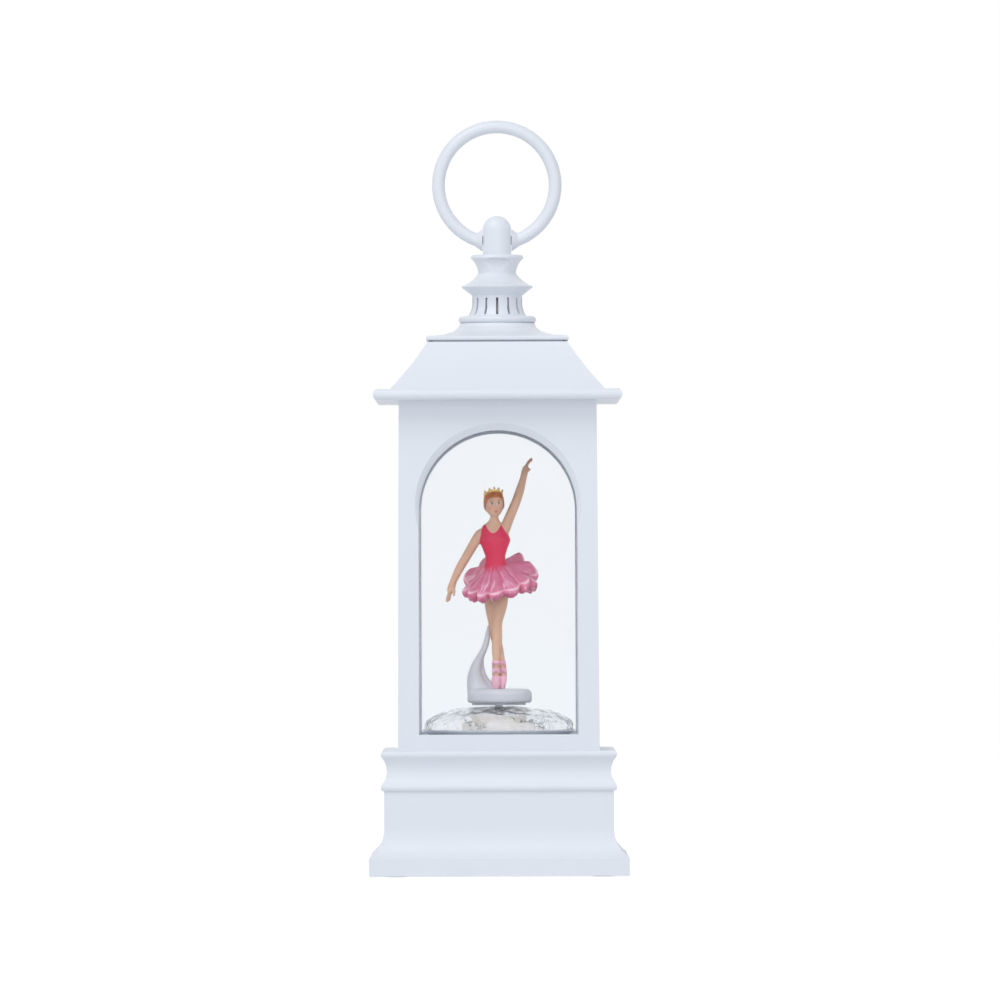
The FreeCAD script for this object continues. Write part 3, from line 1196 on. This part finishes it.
def torso_spot(level, x, half, depth):
    return (Vector(num(x), 0, num(level)), num(half), num(depth))


neckline = torso_spot("neckline_rise", "bust_x", "(bust_half + shoulder_half) / 2",
                      "(bust_depth + shoulder_depth) / 2")
bodice = stack([torso_spot("waist_rise - 3", "waist_x", "waist_half", "waist_depth"),
                torso_spot("waist_rise", "waist_x", "waist_half", "waist_depth"),
                torso_spot("bust_rise", "bust_x", "bust_half", "bust_depth"), neckline])
piece(made(bodice, z=FEET), "bodice")
chest = stack([neckline, torso_spot("shoulder_rise", "head_x", "shoulder_half", "shoulder_depth"),
               torso_spot("throat_rise", "head_x", "throat_radius + 0.3", "throat_radius + 0.2")])
piece(made(chest, z=FEET), "chest")

# Arms.


def arm_form(arm):
    forward = num("arm_forward")
    joints = {spot: Vector(num(f"{arm}_{spot}_x"), forward * reach, num(f"{arm}_{spot}_rise"))
              for spot, reach in (("shoulder", 0.3), ("elbow", 1), ("wrist", 1.6), ("tip", 2))}
    upper, elbow, wrist = (num(f"{spot}_radius") for spot in ("upper_arm", "elbow", "wrist"))
    upper_middle = (joints["shoulder"] + joints["elbow"]) / 2
    fore_middle = (joints["elbow"] + joints["wrist"]) / 2
    palm = joints["wrist"] + (joints["tip"] - joints["wrist"]) * 0.45
    return limb([(joints["shoulder"], upper), (upper_middle, (upper + elbow) / 2), (joints["elbow"], elbow),
                 (fore_middle, (elbow + wrist) / 2), (joints["wrist"], wrist), (palm, num("palm_radius")),
                 (joints["tip"], num("finger_radius"))])


piece(made(arm_form("up"), z=FEET), "arm_raised")
piece(made(arm_form("down"), z=FEET), "arm_lowered")

# Head, hair and tiara.
HEAD = f"{FEET} + head_rise"


def oval(grow):
    solid = sized("Part::Ellipsoid", Radius1=f"head_height + {grow}", Radius2=f"head_half + {grow}",
                  Radius3=f"head_depth + {grow}")
    solid.Angle1 = -90
    return place(solid, "head_x", "0", HEAD)


neck = rod("throat_radius", "head_rise - throat_rise + 0.6", "head_x", "0", f"{FEET} + throat_rise - 0.6")
piece(fuse(oval("0"), neck), "head")
face_gap = block("4 * head_half", "2 * head_depth", "2 * head_height", "head_x", "-(head_depth + 0.6)",
                 f"{HEAD} - 1.45 * head_height")
bun = place(sized("Part::Sphere", Radius="bun_radius"), "head_x", "head_depth + bun_radius / 2",
            f"{HEAD} + 0.6")
piece(cut(fuse(oval("hair_thick"), bun), oval("0"), face_gap, neck), "hair")
tiara_level = f"{HEAD} + tiara_rise"
band = cut(rod("tiara_radius", "tiara_band", "head_x", "0", tiara_level),
           rod("tiara_radius - 0.6", "tiara_band + 2", "head_x", "0", f"{tiara_level} - 1"),
           block("3 * tiara_radius", "tiara_radius", "tiara_band + 2", "head_x", "tiara_radius / 2 + 0.5",
                 f"{tiara_level} - 1"))
points = []
for k in range(-2, 3):
    swing = f"{32 * k - 90} * 1 deg"
    point = sized("Part::Cone", Radius1="0.45", Height="tiara_point")
    point.Radius2 = 0
    points.append(place(point, f"head_x + (tiara_radius - 0.3) * cos({swing})",
                        f"(tiara_radius - 0.3) * sin({swing})", f"{tiara_level} + tiara_band - 0.2"))
piece(fuse(band, *points), "tiara")

doc.recompute()
for obj in doc.Objects:
    if "Invalid" in obj.State or "Error" in obj.State:
        raise RuntimeError(f"{obj.Label}: {obj.State}")
os.makedirs("parts", exist_ok=True)
for obj in PIECES:
    if obj.Shape.isNull() or not obj.Shape.isValid():
        raise RuntimeError(f"{obj.Label}: no valid shape")
    obj.Shape.exportStep(f"parts/{obj.Label}.step")
